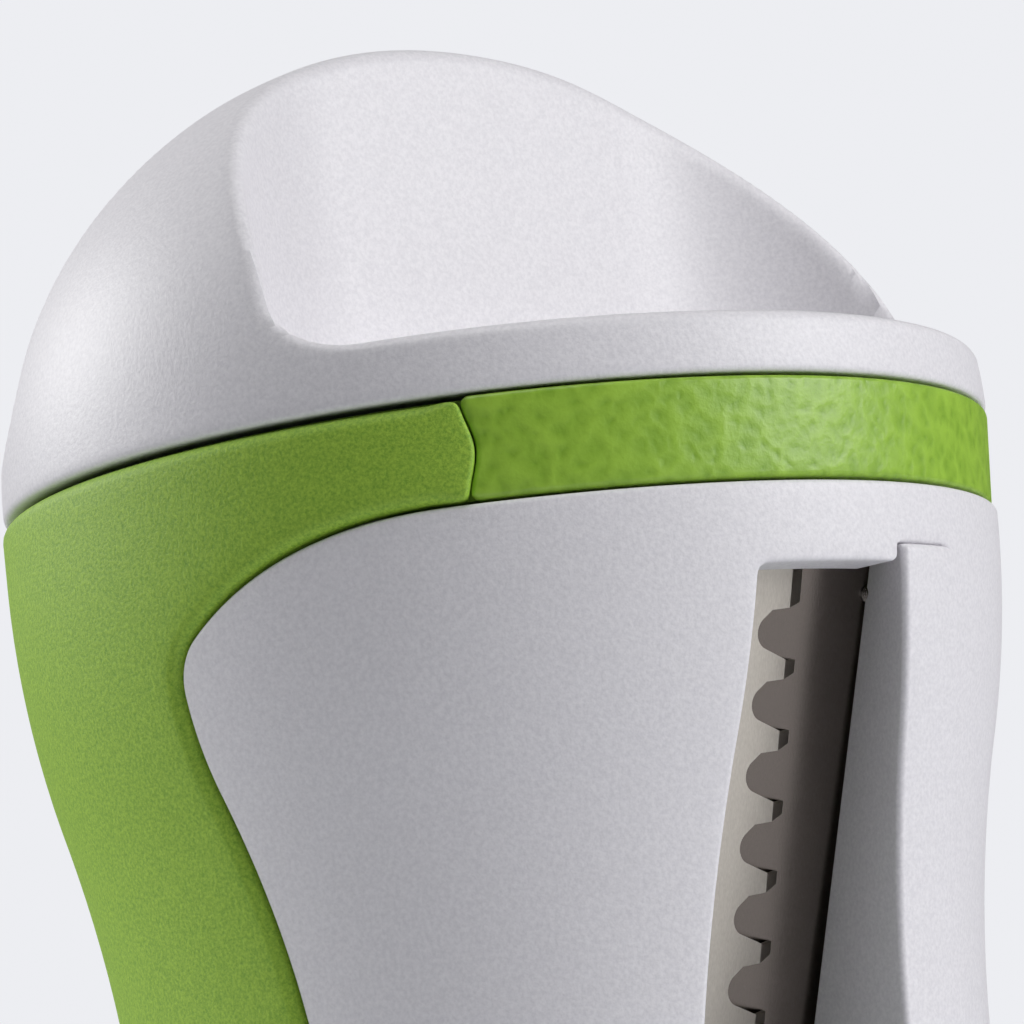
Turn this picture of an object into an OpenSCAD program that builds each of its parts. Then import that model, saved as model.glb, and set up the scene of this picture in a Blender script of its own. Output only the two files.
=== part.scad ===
// Hand-held spiral slicer: an hourglass body with a funnel, a toothed comb and a blade behind a side
// window, and a domed lid that grips the food on pins and turns it.
// Origin: centre of the base, on the table. +Z up, the window faces -Y. Millimetres.

/* [Body] */
// Height of the body from the table to its mouth
body_h = 115; // [108:1:140]
// Radius of the white shell at its two ends
end_r = 42.8; // [42:0.2:52]
// Radius of the white shell at its waist
waist_r = 36.1; // [35:0.1:41]
// Straight length of the shell before each shoulder begins
straight_h = 5.2; // [4:0.2:14]
// Radius of the rounded shoulders
shoulder_arc = 88; // [40:1:100]
// Thickness of the shell wall behind the grip
shell_wall = 2.2; // [1.6:0.1:3]
// Height of the coloured band at each end
band_h = 8; // [7:0.5:10]
// How far the band and the lid stand out past the shell
rim_step = 0.2; // [0:0.05:0.4]
// How far the band narrows towards the shell
band_taper = 0.65; // [0:0.05:1]
// Reach of the hard band to the left of the middle, in degrees
band_left = 46; // [30:1:60]
// Reach of the hard band to the right of the middle, in degrees
band_right = 58; // [30:1:64]

/* [Grip] */
// Depth of the recess that the soft grip fills
grip_depth = 1.6; // [1:0.1:2]
// How far the grip stands out past the shell
grip_proud = 0.4; // [0.2:0.1:1]
// How far in front of the middle the panel's upper corner ends
panel_corner = 5.4; // [2:0.2:10]
// How far in front of the middle the panel ends at the waist
panel_waist = 9.6; // [6:0.2:16]

/* [Window] */
// Drop from the mouth to the top of the window
window_drop = 14.7; // [13:0.1:20]
// Height of the window's sill above the table
window_sill = 31; // [27:1:40]
// Left edge of the window at its top, from the middle
window_left = 11.4; // [9:0.2:13]
// Left edge of the window at the waist, from the middle
window_left_low = 16.3; // [13:0.2:18]
// Left edge of the raised exit lip
lip_left = 3; // [2:0.1:5]
// Right edge of the raised exit lip
lip_right = 11; // [9:0.2:13]
// How far the lip reaches above the window's top
lip_rise = 1.5; // [0.5:0.1:2]
// How far the lip's crest stands out past the shell
lip_proud = 0.6; // [0.2:0.1:1]

/* [Funnel and blades] */
// Outer radius of the funnel at the level of the mouth
cone_r = 40; // [33:0.1:44]
// Outer radius of the funnel's straight nose
nose_r = 10.9; // [9:0.1:13]
// Thickness of the funnel wall
cone_wall = 2; // [1.4:0.1:2.6]
// Height at which the funnel turns into its straight nose
nose_top = 18; // [16:1:22]
// Height of the nose's lower end
nose_low = 10; // [8:1:12]
// Turn of the cutting plane from the middle of the window
cut_turn = -4.5; // [-8:0.5:-2]
// Skew of the cutting edges to the funnel's slope
edge_skew = 1.1; // [0:0.1:2]
// Distance between the comb's teeth
tooth_pitch = 5.75; // [4.5:0.25:7]
// Height of each gap between two teeth
gap_h = 4.8; // [3:0.1:5]
// Thickness of the comb sheet
comb_t = 0.5; // [0.4:0.05:0.8]
// Depth to which the teeth and the blade's edge reach below the comb sheet
edge_drop = 2; // [1.4:0.1:2.4]
// Thickness of the blade
blade_t = 0.7; // [0.5:0.05:1]

/* [Lid] */
// Height of the dome
dome_h = 38.4; // [32:1:46]
// Fullness of the dome's side view: 2 is an ellipse, more is squarer
dome_fullness = 2.15; // [2:0.05:2.6]
// Wall of the dome
dome_wall = 2.4; // [1.8:0.1:3]
// Thickness of the fin between the two finger scoops
fin_t = 6.2; // [5:0.2:9]
// Radius of the scoops' upright corners
scoop_corner_r = 22.3; // [16:1:26]
// Half of the scoops' width
scoop_half_w = 39.2; // [36:0.2:48]
// Height of the scoops' floor above the dome's lower edge
scoop_floor = 5.4; // [5:0.1:8]
// Thickness of the plate that closes the dome
plate_t = 2; // [1.6:0.1:2.6]
// Depth of the lid's spigot below the mouth
spigot_h = 7; // [6:0.5:7.5]
// Number of outer food pins
pin_count = 8; // [4:1:10]
// Radius of the food pins
pin_r = 1; // [0.7:0.1:1.4]
// Length of the outer pins below their carrier
pin_len = 11; // [6:1:18]
// Length of the centre pin below the carrier
centre_pin_len = 16; // [10:1:24]

/* [Fits] */
// Parting gap between the lid, the bands and the shell
part_gap = 0.3; // [0.2:0.05:0.5]
// Gap between pieces that are pushed together
seat_gap = 0.1; // [0.05:0.01:0.15]
// Radial gap between the lid's spigot and its sealing ring
ring_run = 0.06; // [0.02:0.01:0.09]
// Height at which the base ring stands above the foot's underside
foot_proud = 0.8; // [0.5:0.1:1.5]

/* [Hidden] */
$fn = 96;
white = [0.91, 0.91, 0.93];
hard_green = [0.53, 0.7, 0.2];
soft_green = [0.47, 0.64, 0.2];
steel = [0.75, 0.75, 0.76];

cone_slope = (cone_r - nose_r) / (body_h - nose_top);
cone_lean = atan(cone_slope);                // lean of the funnel wall
dome_r = end_r + rim_step;                   // radius of the dome
core_r = end_r - grip_depth;                 // outside of the shell under the grip
bore_r = core_r - shell_wall;                // inside of the shell at its ends
rim_wall = 2.2;
rim_core_r = shell_r(band_h) - grip_depth - seat_gap / 2; // outside of the rims under the grip
rim_bore_r = core_r - seat_gap - rim_wall - 0.9;
ledge_drop = band_h + 1.5;                   // depth of the ledge that carries the funnel's flange
skirt_drop = ledge_drop + 0.9;               // depth of the mouth rim's lower end
sill_d = body_h - window_sill;               // depth of the window's sill below the mouth
cut_start = window_drop / cos(cone_lean);    // distance down the slope to the slot's upper end
cut_end = sill_d / cos(cone_lean) - 1.5;     // distance down the slope to the slot's lower end
sheet_start = cut_start - 4;                 // upper end of the comb and the blade
sheet_end = cut_end + 3.5;                   // lower end of the comb and the blade
skew_pivot = 20;                             // distance down the slope where the skewed sheets cross it
comb_back = -5.1;                            // back edge of the comb, across the cutting plane
gap_back = -2.8;                             // round end of the gaps between the teeth
first_gap = 2.2;                             // first gap from the slot's upper end
bend_x = 0.4;                                // where the teeth bend inwards
edge_x = 3.4;                                // line where the tooth tips meet the blade
blade_edge_x = -2.6;                         // cutting edge of the blade, under the comb
blade_back_x = 11.4;                         // back edge of the blade
comb_screw_x = -3.2;
blade_screw_x = blade_back_x - 1.8;
foot_x_top = 9;                              // foot of the lip's side wall at the window's top
foot_x_low = 3.4;                            // foot of the lip's side wall at the window's sill
blade_rise = (edge_drop + 0.1) / (blade_back_x - edge_x); // slope of the blade across the plane
blade_deep = edge_drop + (edge_x - blade_edge_x) * blade_rise; // depth of the blade's cutting edge
screw_head_r = 1.6;
screw_head_t = 0.6;
screw_r = 0.9;
comb_screw_inset = 1.95;                     // comb screws from the ends of the sheet
blade_screw_inset = 5.5;                     // blade screws from the ends of the blade
teeth = floor((cut_end - cut_start - gap_h) / tooth_pitch) + 1;

plate_z = body_h + part_gap + 0.2;           // underside of the lid's plate
spigot_r = rim_bore_r - 1.2;
spigot_wall = 2.2;
seal_h = 3.6;
seal_groove = 0.5;
carrier_r = 19;
carrier_h = 6;
backing_t = 1;
pin_ring_r = 14;
carrier_low = plate_z - backing_t - carrier_h;
lid_screw_x = 30;
boss_r = 3.4;
carrier_screw_r = 8;                         // circle of the carrier screws
head_sink = 1.2;                             // depth of the sunk heads in the lid's plate
base_screw_r = bore_r - boss_r - 0.4;        // circle of the base screws
collar_t = 2.4;
spoke_w = 3;

// Points of two tangent arcs that lead from upright at [x0, z0] to upright at [x1, z1], lower and further in
function s_curve(x0, z0, x1, z1, arc, n = 5) =
  let (
    lean = 2 * atan((x0 - x1) / (z0 - z1)),
    reach = (z0 - z1) / sin(lean),
    r0 = min(arc, 0.8 * reach),
    r1 = reach - r0
  )
  concat(
    [for (i = [0:n - 1]) let (t = lean * i / n) [x0 - r0 + r0 * cos(t), z0 - r0 * sin(t)]],
    [for (i = [0:n]) let (t = lean * (1 - i / n)) [x1 + r1 - r1 * cos(t), z1 + r1 * sin(t)]]
  );

// The same points again, mirrored about the waist and in falling order of height
function and_mirror(points) =
  let (last = len(points) - 1)
  concat(points, [for (i = [1:last]) [points[last - i][0], body_h - points[last - i][1]]]);

// Outside of the shell from mouth to base, moved inwards by inset
function shell_edge(inset) = concat(
  [[end_r - inset, body_h]],
  and_mirror(s_curve(end_r - inset, body_h - straight_h, waist_r - inset, body_h / 2, shoulder_arc)),
  [[end_r - inset, 0]]
);

// Radius of the shell's outside at a distance from its nearer end
function shell_r(drop) =
  let (
    run = body_h / 2 - straight_h,
    lean = 2 * atan((end_r - waist_r) / run),
    reach = run / sin(lean),
    r0 = min(shoulder_arc, 0.8 * reach),
    r1 = reach - r0
  )
  drop < straight_h ? end_r
    : drop < straight_h + r0 * sin(lean) ? end_r - r0 + sqrt(pow(r0, 2) - pow(drop - straight_h, 2))
    : waist_r + r1 - sqrt(pow(r1, 2) - pow(body_h / 2 - drop, 2));

function backwards(points) = [for (i = [len(points) - 1:-1:0]) points[i]];

// Corner of a polygon rounded with an arc of radius r between the neighbours a and b
function round_corner(a, p, b, r, n = 5) =
  let (
    u = (a - p) / norm(a - p),
    v = (b - p) / norm(b - p),
    half = acos(u * v) / 2,
    middle = p + (u + v) / norm(u + v) * r / sin(half),
    start = p + u * r / tan(half) - middle,
    stop = p + v * r / tan(half) - middle,
    a0 = atan2(start[1], start[0]),
    sweep = atan2(start[0] * stop[1] - start[1] * stop[0], start * stop)
  )
  [for (i = [0:n]) middle + r * [cos(a0 + sweep * i / n), sin(a0 + sweep * i / n)]];

// Polygon with each corner rounded by its own radius
function rounded(points, radii) =
  let (n = len(points))
  [for (i = [0:n - 1])
    each radii[i] > 0
      ? round_corner(points[(i + n - 1) % n], points[i], points[(i + 1) % n], radii[i])
      : [points[i]]
  ];

// Side view of the front panel, grown by gap: a long curve under the band, a round corner and a waisted edge
function panel_half(gap) =
  let (
    top_z = body_h - band_h + gap,
    sweep_r = 35,
    sweep_a = 36,
    sweep_y = -(panel_corner + 23),
    end_y = sweep_y + sweep_r * sin(sweep_a),
    end_z = top_z - sweep_r * (1 - cos(sweep_a)),
    corner_y = -panel_corner + gap,
    corner_r = (corner_y - end_y) / (1 - sin(sweep_a)),
    corner_z = end_z - corner_r * cos(sweep_a)
  )
  concat(
    [[-end_r - 9, top_z]],
    [for (i = [0:4]) let (t = sweep_a * i / 5) [sweep_y + sweep_r * sin(t), top_z - sweep_r * (1 - cos(t))]],
    [for (i = [0:4]) let (t = sweep_a + (90 - sweep_a) * i / 5)
      [corner_y - corner_r * (1 - sin(t)), corner_z + corner_r * cos(t)]],
    s_curve(corner_y, corner_z, -panel_waist + gap, body_h / 2, 37)
  );

module panel_prism(gap) {
  rotate([90, 0, 90])
    linear_extrude(2 * end_r + 20, center = true)
      polygon(concat(and_mirror(panel_half(gap)), [[-end_r - 9, band_h - gap]]));
}

// Wedge over the front of the rim, from band_left to band_right less cut degrees at each side
module front_wedge(z0, z1, cut) {
  reach = end_r + 12;
  translate([0, 0, z0])
    linear_extrude(z1 - z0)
      polygon([[0, 0], [-reach * tan(band_left - cut), -reach], [reach * tan(band_right - cut), -reach]]);
}

module ring(r_out, r_in, z0, z1) {
  translate([0, 0, z0])
    difference() {
      cylinder(h = z1 - z0, r = r_out);
      translate([0, 0, -1]) cylinder(h = z1 - z0 + 2, r = r_in);
    }
}

// Wall between two insets of the shell's outside, from height z0 to z1
module shell_layer(inset_out, inset_in, z0, z1) {
  rotate_extrude()
    intersection() {
      polygon(concat(shell_edge(inset_out), backwards(shell_edge(inset_in))));
      translate([0, z0]) square([end_r + 10, z1 - z0]);
    }
}

// Front view of the opening in the shell, grown by gap
function window_points(gap) =
  let (
    top = body_h - window_drop + gap,
    lip_top = top + lip_rise,
    sill = window_sill - gap,
    right = lip_right + gap
  )
  rounded(
    [[-window_left - gap, top], [lip_left - gap, top], [lip_left - gap, lip_top], [right, lip_top],
      [right, sill], [-window_left_low - gap, sill], [-window_left_low - gap, body_h / 2]],
    [0.9, 0, 0, 1.2, 3, 3, 20]
  );

// Cuts straight through the front wall, with the outline given in front view
module front_cut(points, y0, y1) {
  translate([0, y1, 0])
    rotate([90, 0, 0])
      linear_extrude(y1 - y0)
        polygon(points);
}

module screw_circle(count, r) {
  for (i = [0:count - 1])
    rotate([0, 0, 90 + i * 360 / count])
      translate([r, 0, 0])
        children();
}

// White hourglass shell; the front panel is thicker by the depth of the grip's recess
module body_shell() {
  z0 = band_h + part_gap;
  z1 = body_h - band_h - part_gap;
  boss_h = 12;
  color(white)
    difference() {
      union() {
        shell_layer(grip_depth, grip_depth + shell_wall, z0, z1);
        intersection() {
          shell_layer(0, grip_depth + shell_wall / 2, z0, z1);
          panel_prism(-part_gap);
        }
        screw_circle(3, base_screw_r)
          translate([0, 0, z0]) cylinder(h = boss_h, r = boss_r);
      }
      front_cut(window_points(0), -end_r - 9, -12);
      screw_circle(3, base_screw_r)
        translate([0, 0, z0 - 1]) cylinder(h = boss_h - 1, r = screw_r + seat_gap / 2);
    }
}

// Soft grip: wraps the back and sides and runs round both rims outside the hard bands
module soft_grip() {
  color(soft_green)
    difference() {
      shell_layer(-grip_proud, grip_depth, foot_proud + part_gap, body_h - part_gap);
      panel_prism(0);
      front_wedge(body_h - band_h - part_gap - 1, body_h + 1, 0);
      front_wedge(-1, band_h + part_gap + 1, 0);
    }
}

// Outline of the hard band, flared towards the open end; z runs from the shell to the open end
module band_profile(z_shell, z_open) {
  polygon([[rim_bore_r, z_shell], [dome_r - band_taper, z_shell], [dome_r, z_open], [rim_bore_r, z_open]]);
}

// Outside of a skirt that reaches into the shell by drop
function skirt_r(drop) = shell_r(drop) - grip_depth - shell_wall - seat_gap;

// Hard rim at the mouth; its band shows in front, and the grip covers it elsewhere
module mouth_rim() {
  z0 = body_h - band_h;
  seat_r = cone_r - cone_slope * ledge_drop + seat_gap;
  color(hard_green) {
    difference() {
      union() {
        ring(rim_core_r, rim_bore_r, z0, body_h);
        intersection() {
          rotate_extrude() band_profile(z0, body_h);
          front_wedge(z0 - 1, body_h + 1, 0.1);
        }
        ring(skirt_r(skirt_drop), seat_r, body_h - skirt_drop, z0 + 0.5);
      }
      translate([0, 0, body_h - ledge_drop]) cylinder(h = ledge_drop - 0.01, r = rim_bore_r);
      translate([0, 0, body_h - 0.8]) cylinder(h = 1, r1 = rim_bore_r, r2 = rim_bore_r + 1);
    }
  }
}

// Hard ring at the base, with spokes to a collar that holds the funnel's nose
module base_ring() {
  collar_bore = nose_r + seat_gap;
  spoke_top = 7;
  color(hard_green)
    difference() {
      union() {
        ring(rim_core_r, rim_bore_r, foot_proud, band_h);
        intersection() {
          rotate_extrude() band_profile(band_h, foot_proud);
          front_wedge(foot_proud - 1, band_h + 1, 0.1);
        }
        ring(skirt_r(band_h + 2), rim_bore_r, band_h - 0.5, band_h + 2);
        ring(collar_bore + collar_t, collar_bore, foot_proud + 1, nose_low + 4);
        for (a = [0:3])
          rotate([0, 0, 45 + 90 * a])
            translate([collar_bore + collar_t / 2, -spoke_w / 2, foot_proud + 1])
              cube([rim_bore_r - collar_bore, spoke_w, spoke_top - foot_proud - 1]);
        screw_circle(3, base_screw_r)
          translate([0, 0, foot_proud + 1.6]) cylinder(h = 4, r = boss_r);
      }
      screw_circle(3, base_screw_r) {
        translate([0, 0, -1]) cylinder(h = band_h + 6, r = screw_r + seat_gap);
        translate([0, 0, -1]) cylinder(h = 1 + foot_proud + 2.6, r = screw_head_r + seat_gap * 2);
        translate([0, 0, foot_proud + 5.6]) cylinder(h = band_h, r = boss_r + seat_gap);
      }
      foot_groove(seat_gap / 2);
    }
}

// Groove of the base ring, or the foot's own upper part when gap is 0
module foot_groove(gap) {
  ring(core_r - 0.9 + gap, rim_bore_r + 0.8 - gap, foot_proud - 0.4, foot_proud + 0.7 + gap);
}

// Soft ring that the slicer stands on
module foot_ring() {
  color(soft_green) {
    foot_groove(0);
    ring(core_r - 0.5, rim_bore_r + 0.5, 0, foot_proud);
  }
}

module base_screws() {
  color(steel)
    screw_circle(3, base_screw_r) {
      translate([0, 0, foot_proud + 1.4]) cylinder(h = 1.2, r = screw_head_r);
      translate([0, 0, foot_proud + 2.6]) cylinder(h = 13, r = screw_r);
    }
}

// Frame of the cutting plane: x across, y inwards, z up the funnel's slope from the mouth's level
module cutting_plane() {
  rotate([0, 0, cut_turn])
    translate([0, -cone_r, body_h])
      rotate([cone_lean, 0, 0])
        translate([0, 0, -skew_pivot])
          rotate([0, edge_skew, 0])
            translate([0, 0, skew_pivot])
              children();
}

// Sheet with the given outline across the plane, between two distances down the slope
module slope_prism(points, from, to) {
  translate([0, 0, -to])
    linear_extrude(to - from)
      polygon(points);
}

// Funnel with a flange at its mouth, a slot under the blades and a straight nose
module funnel() {
  top_z = body_h - band_h - seat_gap;
  flange_z = body_h - ledge_drop;
  function outer(z) = cone_r - cone_slope * (body_h - z);
  color(hard_green)
    difference() {
      rotate_extrude()
        polygon([
          [outer(top_z) - cone_wall, top_z], [rim_bore_r - seat_gap, top_z],
          [rim_bore_r - seat_gap, flange_z + 0.02], [outer(flange_z), flange_z + 0.02],
          [nose_r, nose_top], [nose_r, nose_low],
          [nose_r - cone_wall, nose_low], [nose_r - cone_wall, nose_top]
        ]);
      cutting_plane() {
        slope_prism(
          [
            [comb_back - seat_gap, -6], [blade_back_x + 3, -6], [blade_back_x + 3, -0.1],
            [blade_back_x, -0.1], [edge_x, edge_drop], [edge_x, edge_drop + 0.3],
            [edge_x - 0.6, edge_drop + 0.3], [bend_x - 0.3, comb_t], [comb_back - seat_gap, comb_t]
          ],
          sheet_start - seat_gap, sheet_end + seat_gap
        );
        slope_prism(blade_outline(seat_gap), sheet_start - seat_gap, sheet_end + seat_gap);
        slot_cut();
        sheet_screw_places(comb_screw_x, comb_screw_inset)
          rotate([90, 0, 0]) cylinder(h = 12, r = screw_r + seat_gap / 2, center = true);
        sheet_screw_places(blade_screw_x, blade_screw_inset)
          rotate([90, 0, 0]) cylinder(h = 20, r = screw_head_r + seat_gap * 3, center = true);
      }
    }
}

// Through slot of the funnel, narrower towards the nose
module slot_cut() {
  left = gap_back - 0.8;
  translate([0, 7, 0])
    rotate([90, 0, 0])
      linear_extrude(9)
        polygon([[left, -cut_start], [foot_x_top, -cut_start], [foot_x_low, -cut_end], [left, -cut_end]]);
}

// Places of the two screws of a sheet, at one distance from each of its ends
module sheet_screw_places(x, inset) {
  for (s = [sheet_start + inset, sheet_end - inset])
    translate([x, 0, -s])
      children();
}

// Toothed comb: a sheet whose teeth bend inwards to meet the blade's edge
module comb() {
  bent = [
    [comb_back, 0], [bend_x, 0], [edge_x - 0.3, edge_drop - 0.2],
    [edge_x - 0.45, edge_drop + 0.1], [bend_x - 0.2, comb_t], [comb_back, comb_t]
  ];
  gap_r = 1.4;
  half = gap_h / 2;
  color(steel)
    cutting_plane()
      difference() {
        slope_prism(bent, sheet_start, sheet_end);
        for (i = [0:teeth - 1])
          translate([gap_back + gap_r, 0, -cut_start - first_gap - half - i * tooth_pitch])
            rotate([90, 0, 0])
              linear_extrude(9, center = true)
                hull() {
                  circle(r = gap_r);
                  polygon([[0, half - 0.6], [7, half + 0.1], [7, -half - 0.1], [2.4, -half]]);
                }
        sheet_screw_places(comb_screw_x, comb_screw_inset)
          rotate([90, 0, 0]) cylinder(h = 6, r = screw_r + seat_gap / 2, center = true);
      }
}

// Cross-section of the blade, with its edge bevelled on the inner side; the strands pass over it
function blade_outline(gap) = [
  [blade_edge_x - gap, blade_deep], [blade_back_x, -0.1], [blade_back_x + gap, -0.1 - gap],
  [blade_back_x + gap, blade_t + gap], [blade_edge_x + 2, blade_deep + blade_t - 2 * blade_rise + gap]
];

module blade() {
  color(steel)
    cutting_plane()
      difference() {
        slope_prism(blade_outline(0), sheet_start, sheet_end);
        sheet_screw_places(blade_screw_x, blade_screw_inset)
          rotate([90, 0, 0]) cylinder(h = 8, r = screw_r + seat_gap / 2, center = true);
      }
}

module comb_screws() {
  color(steel)
    cutting_plane()
      sheet_screw_places(comb_screw_x, comb_screw_inset)
        rotate([90, 0, 0]) {
          cylinder(h = screw_head_t, r = screw_head_r);
          translate([0, 0, -cone_wall - 0.3]) cylinder(h = cone_wall + 0.3, r = screw_r);
        }
}

module blade_screws() {
  color(steel)
    cutting_plane()
      sheet_screw_places(blade_screw_x, blade_screw_inset)
        rotate([-90, 0, 0]) {
          translate([0, 0, blade_t + 1]) cylinder(h = screw_head_t, r = screw_head_r);
          translate([0, 0, -2.4]) cylinder(h = blade_t + 3.4, r = screw_r);
        }
}

// Exit lip: closes the window's right side, carries the blade, and leads the strands out
module exit_lip() {
  gap = part_gap / 2;
  z0 = window_sill + gap;
  z1 = body_h - window_drop + lip_rise - gap;
  flange_right = lip_right + 3.5;
  foot_top = foot_x_top - 2.4;
  foot_low = foot_x_low - 1.2;
  wall_top = body_h - window_drop + 6;
  wall_low = window_sill - 6;
  wall_steps = 5;
  // Plan view of the side wall at one height: a line from the crest to the blade
  module wall_side(i) {
    z = wall_top + (wall_low - wall_top) * i / wall_steps;
    crest = [lip_left, -shell_r(min(z, body_h - z)) - lip_proud];
    foot_y = -(cone_r - cone_slope * (body_h - z));
    run = [foot_top + (foot_low - foot_top) * i / wall_steps, foot_y] - crest;
    far = crest + run * 1.9;
    near = crest - run * 0.6;
    translate([0, 0, z])
      linear_extrude(0.01)
        polygon([[-40, near[1]], near, far, [-40, far[1]]]);
  }
  color(white)
    difference() {
      union() {
        intersection() {
          shell_layer(-lip_proud, grip_depth + shell_wall + 0.5, z0, z1);
          front_cut(
            rounded(
              [[lip_left - 5, z0], [lip_right - gap, z0], [lip_right - gap, z1], [lip_left - 5, z1]],
              [0, 3, 1.2, 0]
            ),
            -end_r - 9, -12
          );
        }
        intersection() {
          shell_layer(grip_depth + shell_wall + 0.2, waist_r - 2, z0 + 1, z1 - 1);
          front_cut([[-8, z0], [flange_right, z0], [flange_right, z1 - 1], [-8, z1 - 1]], -end_r, -8);
        }
      }
      for (i = [0:wall_steps - 1])
        hull() {
          wall_side(i);
          wall_side(i + 1);
        }
      translate([0, 0, nose_low])
        cylinder(
          h = body_h - nose_low,
          r1 = cone_r + seat_gap * 2 - cone_slope * (body_h - nose_low),
          r2 = cone_r + seat_gap * 2
        );
      cutting_plane() {
        slope_prism(
          [
            [-12, 3], [edge_x - 2, edge_drop + 0.55], [edge_x, edge_drop], [blade_back_x, -0.12],
            [blade_back_x + 0.2, -0.12], [blade_back_x + 0.2, 14], [-12, 14]
          ],
          sheet_start - 0.2, sheet_end + 0.2
        );
        sheet_screw_places(blade_screw_x, blade_screw_inset)
          rotate([90, 0, 0]) cylinder(h = 5.6, r = screw_r + seat_gap / 2, center = true);
      }
    }
}

// Superellipse profile of the dome, moved inwards by inset, standing on the dome's lower edge
module dome_body(inset) {
  steps = 18;
  low = part_gap;
  power = 2 / dome_fullness;
  translate([0, 0, body_h])
    rotate_extrude()
      polygon(concat(
        [[0, low - (inset > 0 ? 1 : 0)], [dome_r - inset, low - (inset > 0 ? 1 : 0)]],
        [for (i = [0:steps])
          let (t0 = asin(pow(low / dome_h, 1 / power)), t = t0 + (90 - t0) * i / steps)
          [i == steps ? 0 : (dome_r - inset) * pow(cos(t), power), (dome_h - inset) * pow(sin(t), power)]]
      ));
}

// Space of one finger scoop in front of the fin, grown by grow
module scoop(grow) {
  corner = scoop_corner_r + grow;
  centre_x = scoop_half_w - scoop_corner_r;
  centre_y = fin_t / 2 + scoop_corner_r;
  reach = dome_r + 12;
  translate([0, 0, body_h + scoop_floor - grow]) {
    for (side = [-1, 1])
      translate([side * centre_x, -centre_y, 0]) cylinder(h = dome_h, r = corner);
    translate([-centre_x, -reach, 0]) cube([2 * centre_x, reach - fin_t / 2 + grow, dome_h]);
    translate([-centre_x - corner, -reach, 0]) cube([2 * (centre_x + corner), reach - centre_y, dome_h]);
  }
}

module scoops(grow) {
  scoop(grow);
  rotate([0, 0, 180]) scoop(grow);
}

// Domed lid with a finger scoop on each side of a fin
module lid_dome() {
  color(white)
    difference() {
      dome_body(0);
      scoops(0);
      difference() {
        dome_body(dome_wall);
        scoops(dome_wall);
        translate([-22, -3.2, body_h]) cube([44, 6.4, dome_h]);
        for (x = [-lid_screw_x, lid_screw_x])
          translate([x, 0, plate_z + plate_t]) cylinder(h = dome_h, r = boss_r);
      }
      translate([0, 0, body_h - 1]) cylinder(h = plate_z + plate_t - body_h + 1, r = dome_r - dome_wall);
      for (x = [-lid_screw_x, lid_screw_x])
        translate([x, 0, plate_z]) cylinder(h = 12, r = screw_r + seat_gap / 2);
    }
}

// Plate that closes the dome, with the spigot that enters the mouth
module lid_plate() {
  z_low = body_h - spigot_h;
  seal_z = z_low + 1.4;
  color(white)
    difference() {
      union() {
        translate([0, 0, plate_z]) cylinder(h = plate_t, r = dome_r - dome_wall - seat_gap);
        ring(spigot_r, spigot_r - spigot_wall, z_low, plate_z + 0.5);
      }
      ring(spigot_r + 1, spigot_r - seal_groove, seal_z, seal_z + seal_h);
      for (x = [-lid_screw_x, lid_screw_x])
        translate([x, 0, plate_z - 1]) cylinder(h = plate_t + 2, r = screw_r + seat_gap);
      screw_circle(3, carrier_screw_r) {
        translate([0, 0, plate_z - 1]) cylinder(h = plate_t + 2, r = screw_r + seat_gap);
        translate([0, 0, plate_z + plate_t - head_sink]) cylinder(h = 2, r = screw_head_r + seat_gap);
      }
    }
}

// Soft ring round the spigot that holds the lid in the mouth by friction
module lid_seal() {
  z0 = body_h - spigot_h + 1.4 + ring_run;
  lip = rim_bore_r - part_gap;
  inner = spigot_r - seal_groove + ring_run;
  color(soft_green)
    rotate_extrude()
      polygon([
        [inner, z0], [lip - 0.4, z0], [lip, z0 + 0.5], [lip - 0.4, z0 + 1.2], [lip, z0 + 1.9],
        [lip - 0.4, z0 + 2.6], [lip - 0.4, z0 + seal_h - 2 * ring_run], [inner, z0 + seal_h - 2 * ring_run]
      ]);
}

module lid_screws() {
  color(steel)
    for (x = [-lid_screw_x, lid_screw_x])
      translate([x, 0, plate_z]) {
        translate([0, 0, -1.2]) cylinder(h = 1.2, r = screw_head_r + 0.6);
        cylinder(h = 11, r = screw_r);
      }
}

// Hub under the plate that the food pins stand in
module pin_carrier() {
  bevel = 1.5;
  color(hard_green)
    difference() {
      rotate_extrude()
        polygon([
          [0, carrier_low], [carrier_r - bevel, carrier_low], [carrier_r, carrier_low + bevel],
          [carrier_r, plate_z], [carrier_r - 1.6, plate_z], [carrier_r - 1.6, plate_z - backing_t],
          [0, plate_z - backing_t]
        ]);
      screw_circle(pin_count, pin_ring_r)
        translate([0, 0, carrier_low - 1]) cylinder(h = carrier_h + 2, r = pin_r + seat_gap / 5);
      translate([0, 0, carrier_low - 1]) cylinder(h = carrier_h + 2, r = pin_r * 1.5 + seat_gap / 5);
      screw_circle(3, carrier_screw_r)
        translate([0, 0, carrier_low + 1]) cylinder(h = carrier_h, r = screw_r + seat_gap / 2);
    }
}

// Steel disc that backs the pins
module pin_backing() {
  color(steel)
    difference() {
      translate([0, 0, plate_z - backing_t]) cylinder(h = backing_t, r = carrier_r - 1.6 - seat_gap);
      screw_circle(3, carrier_screw_r)
        translate([0, 0, plate_z - backing_t - 1]) cylinder(h = backing_t + 2, r = screw_r + seat_gap);
    }
}

module carrier_screws() {
  color(steel)
    screw_circle(3, carrier_screw_r) {
      translate([0, 0, plate_z + plate_t - head_sink]) cylinder(h = 1.2, r = screw_head_r);
      translate([0, 0, carrier_low + 2])
        cylinder(h = plate_z + plate_t - head_sink - carrier_low - 2, r = screw_r);
    }
}

// Pin with a pointed tip, from the backing disc down to len below the carrier
module pin(r, len) {
  tip = 4 * r;
  top = plate_z - backing_t;
  rotate_extrude()
    polygon([
      [0, carrier_low - len], [r, carrier_low - len + tip], [r, top], [0, top]
    ]);
}

module food_pins() {
  color(steel)
    screw_circle(pin_count, pin_ring_r)
      pin(pin_r, pin_len);
}

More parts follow.
